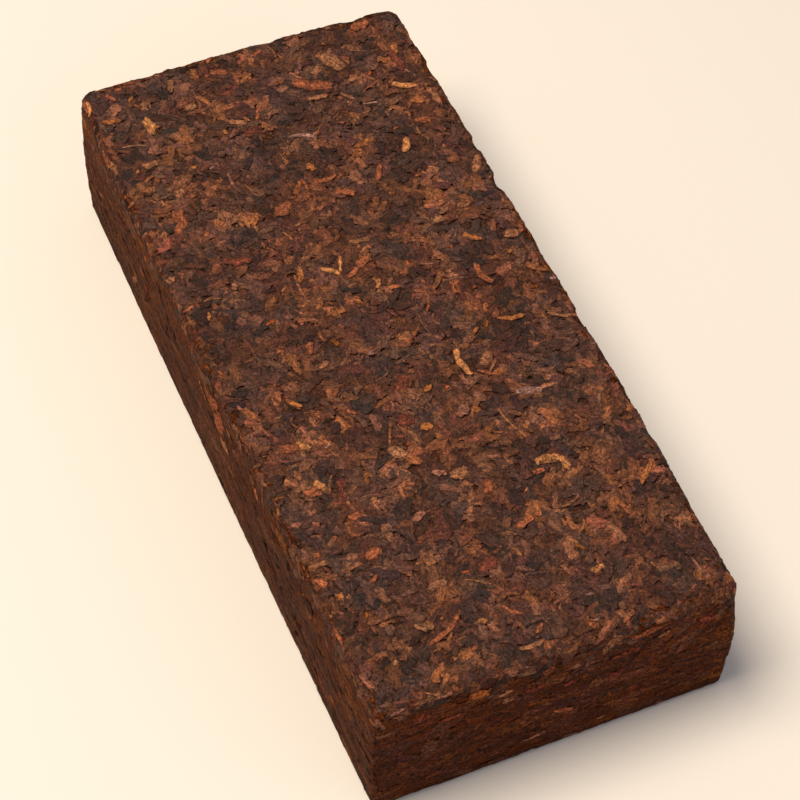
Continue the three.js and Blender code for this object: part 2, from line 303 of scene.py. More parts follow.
def leaf_pattern(widths, sways, shifts):
    """A torn leaf of unit length and width, creased along its vein and closed below.

    Across each row, from the stalk to the tip, it has that width, and is swayed sideways and shifted along.
    """
    bpy.ops.object.select_all(action="DESELECT")
    bpy.ops.mesh.primitive_grid_add(x_subdivisions=len(widths) - 1, y_subdivisions=2, size=1)
    leaf = bpy.context.object
    crease = (bpy.ops.transform.translate, {"value": (0, 0, 1)})
    in_edit_mode("verts", lambda vertex: not vertex.is_boundary, crease)
    for i, (width, sway, shift) in enumerate(zip(widths, sways, shifts)):
        station = i / (len(widths) - 1) - 0.5
        in_edit_mode(
            "verts",
            lambda vertex: abs(vertex.co.x - station) < 0.01,
            (bpy.ops.transform.resize, {"value": (1, width, 1), "center_override": (station, 0, 0)}),
            (bpy.ops.transform.translate, {"value": (shift, sway, 0)}),
        )
    in_edit_mode("verts", lambda vertex: True, (bpy.ops.mesh.remove_doubles, {"threshold": 0.001}))
    return closed_below(leaf)


def closed_below(model):
    """Closes a pattern's open underside, and gives its points and triangles in place of the object."""
    in_edit_mode(
        "edges",
        lambda edge: edge.is_boundary,
        (bpy.ops.mesh.edge_face_add, {}),
        (bpy.ops.mesh.select_all, {"action": "SELECT"}),
        (bpy.ops.mesh.quads_convert_to_tris, {"ngon_method": "BEAUTY"}),
        (bpy.ops.mesh.normals_make_consistent, {}),
    )
    points = np.array([vertex.co for vertex in model.data.vertices])
    faces = np.array([face.vertices for face in model.data.polygons])
    below = np.array([face.normal.z < -0.5 for face in model.data.polygons])
    bpy.data.objects.remove(model)
    return SimpleNamespace(points=points, faces=faces, below=below)


def waves(points):
    """The pressed face's own unevenness, in metres."""
    x, y = points[:, 0] / mm, points[:, 1] / mm
    return (0.18 * np.sin(x / 9 + 1.3) * np.cos(y / 14) + 0.14 * np.sin(x / 5.3 - y / 7.1)) * mm


least_bend = 0.01  # in radians, so that even a flat leaf has a radius
pressed_share = 0.12  # how much of what a leaf stands above its ceiling is left after pressing


def press(pattern, places, ahead, tint, sizes, fibre, ceiling):
    """Presses copies of one pattern into the mould's face: one batch of leaves.

    Each copy is torn in its own way, and arched, twisted and tilted, the more the looser it lies.
    """
    count = len(places)
    up = way_out(places)
    ahead = ahead - up * np.sum(ahead * up, axis=1, keepdims=True)
    ahead = ahead / np.linalg.norm(ahead, axis=1, keepdims=True)
    across = np.cross(up, ahead)
    length, width, depth, crease, bend, loose = sizes[:, :, None]
    along, aside, raised = pattern.points.T[:, None, :]
    arch = draw.normal(0, 0.06, (count, 1)) * loose
    twist = draw.normal(0, 0.15, (count, 1)) * loose
    pitch = draw.normal(0, 0.045, (count, 1)) * loose
    bank = draw.normal(0, 0.07, (count, 1)) * loose
    ragged = draw.normal(0, 0.08, (2, count, len(pattern.points))) * width
    bend = np.where(np.abs(bend) < least_bend, least_bend, bend)
    angle, radius = bend * along, length / bend
    x = radius * np.sin(angle) - aside * width * np.sin(angle) + ragged[0]
    y = radius * (1 - np.cos(angle)) + aside * width * np.cos(angle) + ragged[1]
    y = y - (radius * (1 - np.cos(bend / 2)) / 3)
    bumps = np.abs(draw.normal(0, 0.05, (count, len(pattern.points)))) * raised * width * loose
    z = raised * crease + bumps + pitch * x + (bank + twist * along) * y + arch * along**2 * length - depth
    top = draw.uniform(*ceiling, (count, 1)) * mm
    z = np.minimum(z, top + pressed_share * (z - top))
    points = places[:, None, :] + ahead[:, None, :] * x[..., None] + across[:, None, :] * y[..., None]
    points = onto_mould(points.reshape(-1, 3), z.ravel()).reshape(count, -1, 3)
    points[..., 2] = np.maximum(points[..., 2], 0)
    fibres = np.stack([along * length, aside * width], axis=2) / mm / fibre
    fibres = fibres + draw.uniform(-200, 200, (count, 1, 2))
    # How deep each point lies, which the material paints as shade.
    depth_shade = np.clip(-z / mm, 0, 2)
    return SimpleNamespace(pattern=pattern, points=points, tint=tint, depth_shade=depth_shade, fibres=fibres)


def lay(
    patterns,
    places,
    ahead,
    tint,
    length,
    width,
    depth,
    crease,
    bend,
    loose=1.0,
    fibre=(2.2, 0.4),
    ceiling=(-0.3, 0.08),
):
    """Presses leaves into the mould's face, each a copy of one of the patterns: a batch for each pattern.

    Each leaf has a place, a direction ahead, a tint, a length and width, a depth below the face, the height
    of its crease, a bend over its length in radians, and how loosely it lies. What would stand out above its
    ceiling, drawn from the range given in millimetres, is pressed nearly flat. The fibres' length and
    spacing are in millimetres too.
    """
    count = len(places)
    kind = draw.integers(0, len(patterns), count)
    sizes = np.array([np.broadcast_to(value, count) for value in (length, width, depth, crease, bend, loose)])
    batches = []
    for i, pattern in enumerate(patterns):
        own = kind == i
        batches.append(press(pattern, places[own], ahead[own], tint[own], sizes[:, own], fibre, ceiling))
    return batches


cell_margin = 0.08  # the bare edge of each leaf's square cell in the map, as a share of the cell
under_part, top_start = 0.16, 0.26  # of a cell's height: what the underside takes, and where the top starts


def join_leaves(name, batches, material):
    """One piece of all the leaves in the batches, each with its tint, its fibres and a cell in the map."""
    counts = [len(batch.points) for batch in batches]
    cells_across = math.ceil(math.sqrt(sum(counts) / 2))
    cells_up = math.ceil(sum(counts) / cells_across)
    columns = {"points": [], "faces": [], "tint": [], "depth_shade": [], "outline": [], "fibres": [], "cells": []}
    first_point = first_cell = 0
    for batch, count in zip(batches, counts):
        pattern = batch.pattern
        size = len(pattern.points)
        corners = pattern.faces.ravel()
        starts = first_point + size * np.arange(count)
        columns["points"].append(batch.points.reshape(-1, 3))
        columns["faces"].append((starts[:, None, None] + pattern.faces).reshape(-1, 3))
        columns["tint"].append(np.repeat(batch.tint, size, axis=0))
        columns["depth_shade"].append(batch.depth_shade.ravel())
        columns["outline"].append(np.tile(pattern.points[:, 2] < 0.5, count))
        columns["fibres"].append(batch.fibres[:, corners].reshape(-1, 2))
        flat = pattern.points[:, :2]
        flat = ((flat - flat.min(axis=0)) / np.ptp(flat, axis=0))[corners]
        under = np.repeat(pattern.below, 3)
        flat[:, 1] = np.where(under, under_part * flat[:, 1], top_start + (1 - top_start) * flat[:, 1])
        cells = first_cell + np.arange(count)
        cell_corner = np.stack([cells % cells_across, cells // cells_across], axis=1)
        cell_places = cell_corner[:, None, :] + cell_margin + (1 - 2 * cell_margin) * flat
        cell_places = cell_places / (cells_across, cells_up)
        columns["cells"].append(cell_places.reshape(-1, 2))
        first_point += size * count
        first_cell += count
    columns = {label: np.concatenate(parts) for label, parts in columns.items()}
    faces = columns["faces"]
    mesh = bpy.data.meshes.new(name)
    mesh.vertices.add(first_point)
    mesh.vertices.foreach_set("co", columns["points"].astype(np.float32).ravel())
    mesh.loops.add(faces.size)
    mesh.loops.foreach_set("vertex_index", faces.astype(np.int32).ravel())
    mesh.polygons.add(len(faces))
    mesh.polygons.foreach_set("loop_start", np.arange(0, faces.size, 3, dtype=np.int32))
    mesh.polygons.foreach_set("use_smooth", np.zeros(len(faces), dtype=bool))
    mesh.update(calc_edges=True)
    for label, column in (("OFBake", "cells"), ("Fibres", "fibres")):
        layer = mesh.uv_layers.new(name=label)
        layer.uv.foreach_set("vector", columns[column].astype(np.float32).ravel())
    tint = np.c_[columns["tint"], np.ones(first_point)].astype(np.float32)
    mesh.attributes.new("tint", "FLOAT_COLOR", "POINT").data.foreach_set("color", tint.ravel())
    add_values(mesh, "depth_shade", columns["depth_shade"])
    add_values(mesh, "outline", columns["outline"])
    mesh.materials.append(material)
    piece = bpy.data.objects.new(name, mesh)
    bpy.context.collection.objects.link(piece)
    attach(piece, "root")


def leaf_material(
    name,
    specular,
    fibre_contrast=0.4,
    grain_contrast=0.42,
    blotch_contrast=0.22,
    edge_shade_tone=0.75,
    depth_shade_tone=0.55,
    wrinkle=0.9,
):
    """Damp-piled tea leaf, pressed and dried: red brown to near black, fibrous, dusty and dull.

    Fibres run along each leaf, drawn coarser than real ones, which would be too fine to show. Dust and hairs
    speckle it at a few tenths of a millimetre, and the damp heap has blotched and wrinkled it every two
    millimetres. Its torn edge is darker, partly its own colour and partly painted shadow of the gaps between
    leaves, and what lies deep is painted darker as shade, down to the tones given. A contrast is how far its
    pattern moves the tone either way, and wrinkle is a height in millimetres.
    """
    material = bpy.data.materials.new(name)
    material.use_nodes = True
    material.node_tree.nodes.clear()
    tint = add_node(material, "ShaderNodeAttribute", attribute_name="tint").outputs["Color"]
    depth_shade = add_node(material, "ShaderNodeAttribute", attribute_name="depth_shade").outputs["Fac"]
    outline = add_node(material, "ShaderNodeAttribute", attribute_name="outline").outputs["Fac"]
    along_leaf = add_node(material, "ShaderNodeUVMap", uv_map="Fibres").outputs["UV"]
    place = add_node(material, "ShaderNodeTexCoord").outputs["Object"]
    fibre = add_node(
        material, "ShaderNodeTexNoise", {"Vector": along_leaf, "Scale": 1.0, "Detail": 2.0, "Roughness": 0.7}
    ).outputs["Fac"]
    patterns = []
    # The grain of the dust, then the heap's blotches: size in millimetres, detail and roughness.
    for size, detail, rough in ((0.6, 3.0, 0.8), (2.0, 2.0, 0.6)):
        scaled = add_node(
            material, "ShaderNodeMapping", {"Vector": place, "Scale": [1 / (size * mm)] * 3}
        ).outputs["Vector"]
        inputs = {"Vector": scaled, "Scale": 1.0, "Detail": detail, "Roughness": rough}
        patterns.append(add_node(material, "ShaderNodeTexNoise", inputs).outputs["Fac"])
    grain, blotch = patterns
    shades = [
        (fibre, 0.35, 0.65, 1 - fibre_contrast, 1 + fibre_contrast),
        (grain, 0.40, 0.60, 1 - grain_contrast, 1 + grain_contrast),
        (blotch, 0.30, 0.70, 1 - blotch_contrast, 1 + blotch_contrast),
        # painted shadow at each leaf's torn edge, partly also the edge's own darker colour
        (outline, 0.5, 1.0, 1.0, edge_shade_tone),
        # painted shade, darker the deeper a leaf lies
        (depth_shade, 0.15, 1.0, 1.0, depth_shade_tone),
    ]
    shade = 1.0
    for value, start, end, dark, light in shades:
        limits = {"Value": value, "From Min": start, "From Max": end, "To Min": dark, "To Max": light}
        step = add_node(material, "ShaderNodeMapRange", limits).outputs["Result"]
        shade = add_node(
            material, "ShaderNodeMath", {0: step, 1: shade}, operation="MULTIPLY"
        ).outputs["Value"]
    shaded = add_node(
        material, "ShaderNodeVectorMath", {"Vector": tint, "Scale": shade}, operation="SCALE"
    ).outputs["Vector"]
    # Fibres, wrinkles and grain stand out one on another, by their relief in millimetres.
    normal = {}
    for pattern, relief in ((fibre, 0.35), (blotch, wrinkle), (grain, 0.6)):
        inputs = {"Height": pattern, "Strength": 1.0, "Distance": relief * mm, **normal}
        normal = {"Normal": add_node(material, "ShaderNodeBump", inputs).outputs["Normal"]}
    roughness = add_node(
        material,
        "ShaderNodeMapRange",
        {"Value": grain, "From Min": 0.3, "From Max": 0.7, "To Min": 0.55, "To Max": 0.85},
    ).outputs["Result"]
    shader = add_node(
        material,
        "ShaderNodeBsdfPrincipled",
        {"Base Color": shaded, "Roughness": roughness, "Specular IOR Level": specular, **normal},
    )
    add_node(material, "ShaderNodeOutputMaterial", {"Surface": shader.outputs["BSDF"]})
    return material


luminance = (0.2126, 0.7152, 0.0722)  # what red, green and blue give to a colour's lightness


def pick_tints(places, tints, spread, clump, seed, uneven=1.0):
    """Each leaf's colour, drawn from the tints by their shares.

    The higher the spread, the more alike leaves are that lie in one clump, whose size is in metres. Leaf that
    went into the heap green came out redder and brighter than leaf that was old: so the colour's hue and
    strength vary as well, the strength most among the dark leaves. Uneven scales how much clumps differ so.
    """
    count = len(places)
    clump = np.broadcast_to(clump, 3)
    score = draw.random(count) + spread * noise_in(places, clump, seed)
    shares = np.cumsum([share for _, share in tints])
    rank = np.argsort(np.argsort(score)) / count
    picked = np.searchsorted(shares / shares[-1], rank, side="right").clip(0, len(tints) - 1)
    colours = np.array([linear(tint)[:3] for tint, _ in tints])[picked]
    hue = 0.08 * uneven * noise_in(places, 1.3 * clump, seed + 30) + draw.normal(0, 0.04, count)
    hue = np.minimum(hue, 0.03)
    hue_shift = np.stack([np.ones(count), 1 + hue, 1 - hue], axis=1)
    colours = colours * draw.uniform(0.92, 1.08, (count, 1)) * hue_shift
    strength = 1.07 + 0.45 * uneven * noise_in(places, 1.5 * clump, seed + 20) + draw.normal(0, 0.1, count)
    strength = strength.clip(0.6 + 0.4 * rank, 1.35 - 0.2 * rank)
    grey = colours @ luminance
    return (grey[:, None] + (colours - grey[:, None]) * strength[:, None]).clip(0.002, 1)


# Steps of one over the plastic number (the root of p ** 3 = p + 1) and one over its square form no rows.
even_step = np.array([0.7548776662, 0.5698402910])


def even_spread(count):
    """Points spread evenly, but in no rows, over a square of side 1 about 0."""
    steps = np.arange(1, count + 1)[:, None] * even_step
    return (steps + draw.uniform(0, 0.5 / math.sqrt(count), (count, 2))) % 1 - 0.5


def level_heading(count):
    turn = draw.uniform(0, 2 * math.pi, count)
    return np.c_[np.cos(turn), np.sin(turn), np.zeros(count)]


def on_the_flat(count, level):
    """Places spread evenly over the top or the underside, its rims included."""
    spot = even_spread(count) * (2 * (half_width + side_swell), 2 * (half_length + side_swell))
    return onto_mould(np.c_[spot, np.full(count, level)], np.zeros(count))


shards = [
    leaf_pattern(
        (0.35, 0.85, 0.7, 1.0, 0.8, 0.9, 0.4),
        (0.05, -0.04, 0.1, 0.0, -0.1, 0.05, 0.12),
        (0, -0.06, 0, 0.03, -0.02, 0.06, 0),
    ),
    leaf_pattern(
        (0.5, 0.8, 1.0, 0.75, 0.95, 0.6, 0.45),
        (-0.1, 0.04, 0.0, 0.1, -0.04, 0.0, -0.1),
        (0, -0.04, -0.05, 0, 0.05, 0, 0.02),
    ),
    leaf_pattern(
        (0.0, 0.55, 0.8, 1.0, 0.7, 0.85, 0.3),
        (0, -0.08, 0.05, 0.0, 0.1, -0.05, 0),
        (0, 0, -0.06, 0.03, 0, 0.05, 0),
    ),
    leaf_pattern((0.4, 1.0, 0.7, 0.9, 0.35), (0.08, -0.06, 0.1, -0.06, 0.05), (0, -0.08, 0.05, 0.08, 0)),
    leaf_pattern((0.5, 0.9, 1.0, 0.55), (-0.08, 0.1, -0.06, 0.08), (0, -0.06, 0.05, 0)),
]
# From the darkest leaf to the palest, with the share of the mat that each colour takes.
leaf_tints = [
    ("#35231c", 0.05),
    ("#3e281f", 0.09),
    ("#462c22", 0.12),
    ("#4d3024", 0.16),
    ("#553528", 0.18),
    ("#5e3b2b", 0.14),
    ("#68412e", 0.11),
    ("#744933", 0.08),
    ("#825138", 0.05),
    ("#915a3d", 0.02),
]
leaf_clump = 4.2 * mm  # how far leaf of like colour lies together in the mat
shard_count = 4600
shard_places = on_the_flat(shard_count, mould_top)
shard_length = draw.uniform(2.2, 6.0, shard_count) * mm
shard_width = np.minimum(draw.uniform(1.3, 3.1, shard_count) * mm, 0.75 * shard_length)
top_leaf = leaf_material("pressed_leaf", specular=0.2)
join_leaves(
    "broad_leaf_top",
    lay(
        shards,
        shard_places,
        level_heading(shard_count),
        pick_tints(shard_places, leaf_tints, 0.9, leaf_clump, 2.0),
        length=shard_length,
        width=shard_width,
        depth=0.1 * mm - waves(shard_places) + draw.exponential(0.28, shard_count).clip(0, 0.9) * mm,
        crease=draw.uniform(0.04, 0.16, shard_count) * mm,
        bend=draw.normal(0, 0.5, shard_count),
        loose=1 + 1.4 * wear(shard_places),
    ),
    top_leaf,
)

# ---------------------------------------------------------------------------------------------------------
# The rolled strips on the top
# Leaf that kept its roll from the rolling table: narrow, twisted or hooked strips, a little thicker than the
# shards that they lie among.
strips = [
    leaf_pattern((0.5, 1.0, 0.8, 0.9, 0.4), (0.1, -0.1, 0.15, 0.0, -0.1), (0, -0.08, 0, 0.08, 0)),
    leaf_pattern((0.2, 0.8, 1.0, 0.7, 0.2), (0.0, 0.15, 0.1, -0.1, -0.2), (0, 0, 0, 0, 0)),
    leaf_pattern((0.6, 0.9, 1.0, 0.5), (-0.2, 0.0, 0.1, -0.1), (0, 0, 0, 0)),
]
strip_count = 2400
strip_places = on_the_flat(strip_count, mould_top)
join_leaves(
    "rolled_leaf_top",
    lay(
        strips,
        strip_places,
        level_heading(strip_count),
        pick_tints(strip_places, leaf_tints, 1.1, leaf_clump, 2.0),
        length=draw.uniform(2.2, 5.5, strip_count) * mm,
        width=draw.uniform(0.7, 1.4, strip_count) * mm,
        depth=0.2 * mm - waves(strip_places) + draw.exponential(0.22, strip_count).clip(0, 0.8) * mm,
        crease=draw.uniform(0.1, 0.3, strip_count) * mm,
        bend=draw.normal(0, 0.9, strip_count),
        loose=1 + 1.4 * wear(strip_places),
    ),
    top_leaf,
)

# ---------------------------------------------------------------------------------------------------------
# The crumbs on the top
# Broken bits under two millimetres fill the gaps between the leaves. They are low cones with five or six
# corners, in the leaf's own colours and a little darker.


def crumb_pattern(sides):
    """A low cone on a base of so many sides, closed below."""
    bpy.ops.object.select_all(action="DESELECT")
    bpy.ops.mesh.primitive_circle_add(vertices=sides, radius=0.5, fill_type="TRIFAN")
    tip = (bpy.ops.transform.translate, {"value": (0, 0, 1)})
    in_edit_mode("verts", lambda vertex: not vertex.is_boundary, tip)
    return closed_below(bpy.context.object)


crumbs = [crumb_pattern(5), crumb_pattern(6)]
crumb_count = 5000
crumb_places = on_the_flat(crumb_count, mould_top)
join_leaves(
    "leaf_crumbs_top",
    lay(
        crumbs,
        crumb_places,
        level_heading(crumb_count),
        pick_tints(crumb_places, leaf_tints, 1.3, leaf_clump, 2.0) * 0.9,
        length=draw.uniform(0.6, 1.7, crumb_count) * mm,
        width=draw.uniform(0.4, 0.9, crumb_count) * mm,
        depth=0.15 * mm - waves(crumb_places) + draw.exponential(0.15, crumb_count).clip(0, 0.5) * mm,
        crease=draw.uniform(0.03, 0.1, crumb_count) * mm,
        bend=0.0,
        ceiling=(-0.25, 0.05),
    ),
    top_leaf,
)

# ---------------------------------------------------------------------------------------------------------
# The leaves that stand out on the top
# Some leaves kept the orange of a light fermentation, and the buds their gold. They lie uppermost, whole or
# curled, and stems and veins stripped of their leaf lie among them.
# A pale strip along the front left rim and one pale fleck in the list below are painted sheen of light, not
# leaves.
bright_tints = {
    "red": "#6a3423",
    "brown": "#72452c",
    "orange": "#8c4d2e",
    "amber": "#985a2d",
    "tan": "#8d5a3b",
    "gold": "#b07242",
    "olive": "#85583a",
    # pale and pink also colour the painted sheen in a few rows below, besides real leaves
    "pale": "#93695a",
    "pink": "#85543f",
}
# Each leaf's place along X and Y, length, width, turn and bend in degrees, and colour.
standing_leaves = [
    (-27.3, 73.1, 5.6, 2.3, 95, 20, "gold"),
    (19.1, 77.0, 6.5, 4.2, -70, 10, "tan"),
    (11.7, 71.8, 9.6, 3.2, -26, 15, "orange"),
    (31.4, 63.8, 5.9, 1.8, -25, 10, "gold"),
    (17.9, 65.3, 3.7, 1.1, -48, 0, "tan"),
    (29.4, 85.8, 4.5, 2.8, 20, 20, "orange"),
    (-6.8, 83.4, 4.2, 1.9, -25, 20, "orange"),
    (-7.3, 88.4, 3.3, 1.4, 50, 10, "orange"),
    (3.3, 86.0, 3.0, 1.4, 20, 70, "orange"),
    (3.3, 81.7, 3.8, 1.3, 80, 20, "brown"),
    (-38.6, 83.3, 4.5, 1.2, 75, 40, "gold"),
    (-32.7, 84.7, 3.0, 1.2, -60, 0, "orange"),
    (-35.0, 77.5, 4.2, 1.6, -10, 0, "amber"),
    (-16.7, 75.3, 2.5, 2.0, 0, 0, "olive"),
    (-18.7, 83.3, 4.0, 1.5, 70, 30, "tan"),
    (-8.4, 66.7, 4.0, 1.8, -25, 0, "tan"),
    (-3.4, 67.5, 3.0, 1.0, 70, 40, "orange"),
    (-6.2, 62.8, 4.0, 3.0, 0, 0, "red"),
    (11.3, 67.5, 5.0, 1.5, -5, 0, "tan"),
    (3.4, 57.6, 6.5, 1.0, -20, -60, "pale"),
    (-15.8, 49.3, 8.3, 0.9, -80, 50, "pink"),
    (-12.3, 57.8, 3.8, 1.3, 65, 20, "brown"),
    (-26.0, 54.3, 10.0, 2.8, 52, 30, "brown"),
    (-28.0, 51.3, 3.0, 2.0, 40, 0, "tan"),
    (-31.2, 43.3, 7.5, 3.0, 72, 20, "orange"),
    (-8.7, 38.3, 5.0, 3.5, 30, 0, "orange"),
    (-15.3, 38.0, 4.0, 2.0, 50, 0, "amber"),
    (-1.4, 42.5, 6.8, 0.9, 88, 70, "orange"),
    (3.5, 43.3, 6.2, 1.3, -3, 100, "orange"),
    (1.9, 47.8, 2.6, 1.8, 110, 0, "amber"),
    (24.4, 46.4, 4.6, 2.0, 70, 0, "gold"),
    (15.5, 40.8, 4.8, 1.5, 62, 0, "orange"),
    (15.8, 50.3, 5.0, 1.6, 15, 20, "amber"),
    (31.0, 52.0, 3.6, 2.0, -15, 0, "orange"),
    (36.9, 35.3, 5.6, 2.6, 60, 0, "tan"),
    (6.3, 38.0, 4.0, 2.4, -25, 0, "orange"),
    (21.9, 61.4, 3.4, 0.7, -8, 0, "pale"),
    (36.6, 58.3, 6.0, 1.8, 100, 20, "tan"),
    (32.2, 58.0, 3.0, 1.2, -25, 0, "amber"),
    (32.9, 72.0, 7.5, 2.2, 95, 20, "red"),
    (-6.4, 77.0, 6.0, 1.2, 25, 110, "red"),
    (-31.2, 61.7, 3.5, 2.0, 0, 0, "tan"),
    (-18.7, 55.8, 1.4, 0.9, 20, 0, "pale"),
    (-38.7, 28.3, 2.5, 2.0, 0, 0, "tan"),
    (-23.1, 28.0, 6.0, 2.5, -22, 20, "red"),
    (-12.0, 19.4, 4.5, 1.7, 68, 20, "amber"),
    (-5.5, 17.9, 4.7, 1.4, -40, -40, "gold"),
    (-2.8, 19.0, 4.9, 0.9, 68, 20, "gold"),
    (-1.2, 15.6, 4.0, 1.3, 35, 40, "orange"),
    (1.9, 17.8, 3.6, 2.6, 20, 30, "orange"),
    (2.7, 10.8, 2.5, 1.5, 60, 0, "gold"),
    (4.7, 8.8, 4.3, 1.2, -8, 40, "orange"),
    (24.7, 5.0, 7.0, 1.6, -75, 60, "orange"),
    (18.0, 3.9, 4.0, 2.5, 60, 0, "orange"),
    (27.0, 15.5, 4.5, 1.5, -40, 20, "amber"),
    (35.5, 13.3, 3.4, 2.6, 0, 0, "tan"),
    (38.0, 13.9, 3.0, 1.0, 80, 80, "orange"),
    (3.6, 23.6, 4.6, 1.6, -12, 0, "tan"),
    (21.9, 23.0, 3.0, 2.2, 0, 0, "olive"),
    (-26.2, 21.7, 2.8, 1.4, 65, 0, "pink"),
    (-37.6, 19.2, 3.2, 1.0, 18, 0, "orange"),
    (25.5, -8.5, 6.0, 1.5, -15, 50, "amber"),
    (16.2, -9.4, 3.8, 0.9, 36, 0, "amber"),
    (3.9, -5.2, 5.4, 1.1, 35, 20, "orange"),
    (10.6, -15.8, 8.0, 1.7, -88, 60, "gold"),
    (15.0, -20.5, 5.7, 0.9, -33, 0, "orange"),
    (36.5, -12.0, 8.0, 1.1, -20, 60, "tan"),
    (38.6, -1.8, 1.6, 1.2, 0, 0, "pale"),
    (-28.4, -23.9, 3.4, 2.0, -50, 0, "gold"),
    (-31.2, -23.3, 4.0, 2.5, -20, 0, "orange"),
    (-26.2, -12.8, 4.0, 1.7, -55, 0, "amber"),
    (-16.4, -5.6, 2.6, 1.8, 20, 0, "tan"),
    (-17.6, -0.3, 3.4, 1.6, 65, 0, "orange"),
    (5.5, -27.5, 3.8, 3.4, 20, 0, "pink"),
    (8.3, -28.3, 1.8, 1.8, 0, 0, "amber"),
    (20.8, -28.0, 6.5, 2.2, -12, 10, "pale"),
    (25.2, -28.0, 4.0, 1.4, 0, 0, "tan"),
    (-3.1, -28.6, 2.6, 2.2, 0, 0, "amber"),
    (15.8, -16.7, 4.0, 2.5, 45, 0, "tan"),
    (-6.4, -25.6, 3.0, 3.0, 0, 0, "red"),
    (1.3, -19.4, 2.0, 1.8, 0, 0, "amber"),
    (-17.0, -13.3, 2.4, 1.2, 40, 0, "orange"),
    (-23.7, -25.6, 1.4, 0.8, 35, 0, "pale"),
    (-15.9, -19.4, 2.2, 1.1, -45, 0, "orange"),
    (8.3, 4.7, 1.8, 1.0, 55, 0, "red"),
    (-5.9, -6.4, 1.8, 1.2, 0, 0, "pale"),
    (-3.1, -16.1, 4.5, 2.8, 45, 20, "red"),
    (-11.2, -32.5, 4.2, 3.2, -50, 0, "olive"),
    (-28.9, -34.4, 3.0, 2.0, -50, 0, "gold"),
    (-31.0, -35.3, 4.0, 2.6, -20, 0, "orange"),
    (-5.3, -40.3, 3.0, 1.4, -20, 0, "pink"),
    (-1.4, -42.0, 4.0, 3.0, 0, 0, "tan"),
    (17.8, -46.0, 9.5, 1.9, -35, -170, "gold"),
    (13.6, -47.5, 2.6, 1.6, 0, 0, "orange"),
    (2.7, -47.0, 3.4, 2.0, 60, 0, "orange"),
    (-25.3, -53.6, 4.0, 2.6, 10, 0, "orange"),
    (-29.0, -54.6, 8.0, 1.3, 14, 20, "brown"),
    (-37.6, -56.0, 3.0, 2.0, -40, 0, "orange"),
    (-36.4, -52.0, 4.0, 1.4, 0, 20, "tan"),
    (-34.8, -60.6, 3.0, 2.0, -35, 0, "amber"),
    (33.4, -56.4, 7.5, 1.6, 37, 20, "amber"),
    (14.7, -73.3, 3.0, 1.6, 10, 0, "gold"),
    (-22.6, -73.0, 4.0, 2.2, -25, 0, "olive"),
    (-19.0, -75.3, 9.0, 1.3, 28, 40, "orange"),
    (10.5, -78.3, 1.4, 1.0, 0, 0, "pale"),
    (15.2, -85.8, 3.4, 1.4, 28, 0, "orange"),
    (-4.8, -84.7, 6.0, 1.1, 4, 40, "tan"),
    (-23.4, -88.3, 3.0, 2.4, 0, 0, "orange"),
    (-15.9, -81.0, 1.8, 1.2, 0, 0, "orange"),
    (-2.0, -81.7, 2.6, 1.1, 40, 0, "orange"),
    (5.2, -77.0, 5.0, 1.4, 22, 20, "brown"),
    (-30.0, -68.3, 5.5, 1.4, 0, 20, "brown"),
    (5.8, -57.8, 4.4, 1.6, 15, 0, "orange"),
    (-13.4, -48.6, 3.4, 2.0, 20, 0, "pink"),
    (27.4, -48.3, 5.0, 3.8, 80, 0, "brown"),
    (33.0, -32.8, 4.0, 3.6, 0, 0, "brown"),
    (-25.3, -43.9, 2.4, 1.8, 0, 0, "orange"),
    (-25.6, -37.8, 8.5, 2.6, 72, 20, "red"),
    (-5.3, -64.4, 4.0, 3.0, 20, 0, "red"),
    (-39.0, -68.9, 4.0, 1.0, 90, 0, "orange"),
    (-28.4, -77.2, 3.4, 2.0, 40, 0, "brown"),
    # Not a leaf: a small pale grey fleck, painted as a glint of light.
    (9.4, -83.9, 2.0, 0.8, 20, 0, "pale"),
    (-5.3, -76.0, 4.5, 1.0, -50, 50, "orange"),
    # Not leaves: a broken pale strip along the front left rim, painted as the sheen of light there.
    (-34.5, -88.9, 3.6, 0.9, 6, 0, "pink"),
    (-29.5, -88.6, 4.4, 0.8, 3, 0, "brown"),
    (-25.0, -89.0, 3.4, 0.8, 5, 0, "pink"),
]
whole_leaves = [
    leaf_pattern(
        (0.3, 0.75, 0.95, 1.0, 0.85, 0.9, 0.45),
        (0, 0.06, 0.02, -0.04, 0.05, 0, -0.05),
        (0, -0.06, -0.02, 0, 0.03, 0.06, 0),
    ),
    leaf_pattern(
        (0.5, 0.85, 0.8, 1.0, 0.9, 0.7, 0.3),
        (0.08, 0, -0.06, 0.02, 0.06, 0, 0.06),
        (0, -0.07, 0, 0.02, 0, 0.06, 0),
    ),
]
buds = [leaf_pattern((0.3, 0.9, 1.0, 0.5), (0.0, 0.05, -0.05, 0.0), (0, 0, 0, 0))]


def lay_marked(patterns, places, level, upward, rows, tints, ceiling):
    """Lays leaves listed one by one, each turned from the level direction towards the upward one."""
    length, width, turn, bend = np.array([row[2:6] for row in rows]).T
    turn = np.radians(turn)[:, None]
    colours = np.array([linear(tints[row[6]])[:3] for row in rows])
    return lay(
        patterns,
        places,
        np.cos(turn) * level + np.sin(turn) * upward,
        colours * draw.uniform(0.9, 1.1, (len(rows), 1)),
        length=length * mm,
        width=width * mm,
        depth=0.0,
        crease=0.12 * width * mm,
        bend=np.radians(bend),
        loose=0.7,
        ceiling=ceiling,
    )


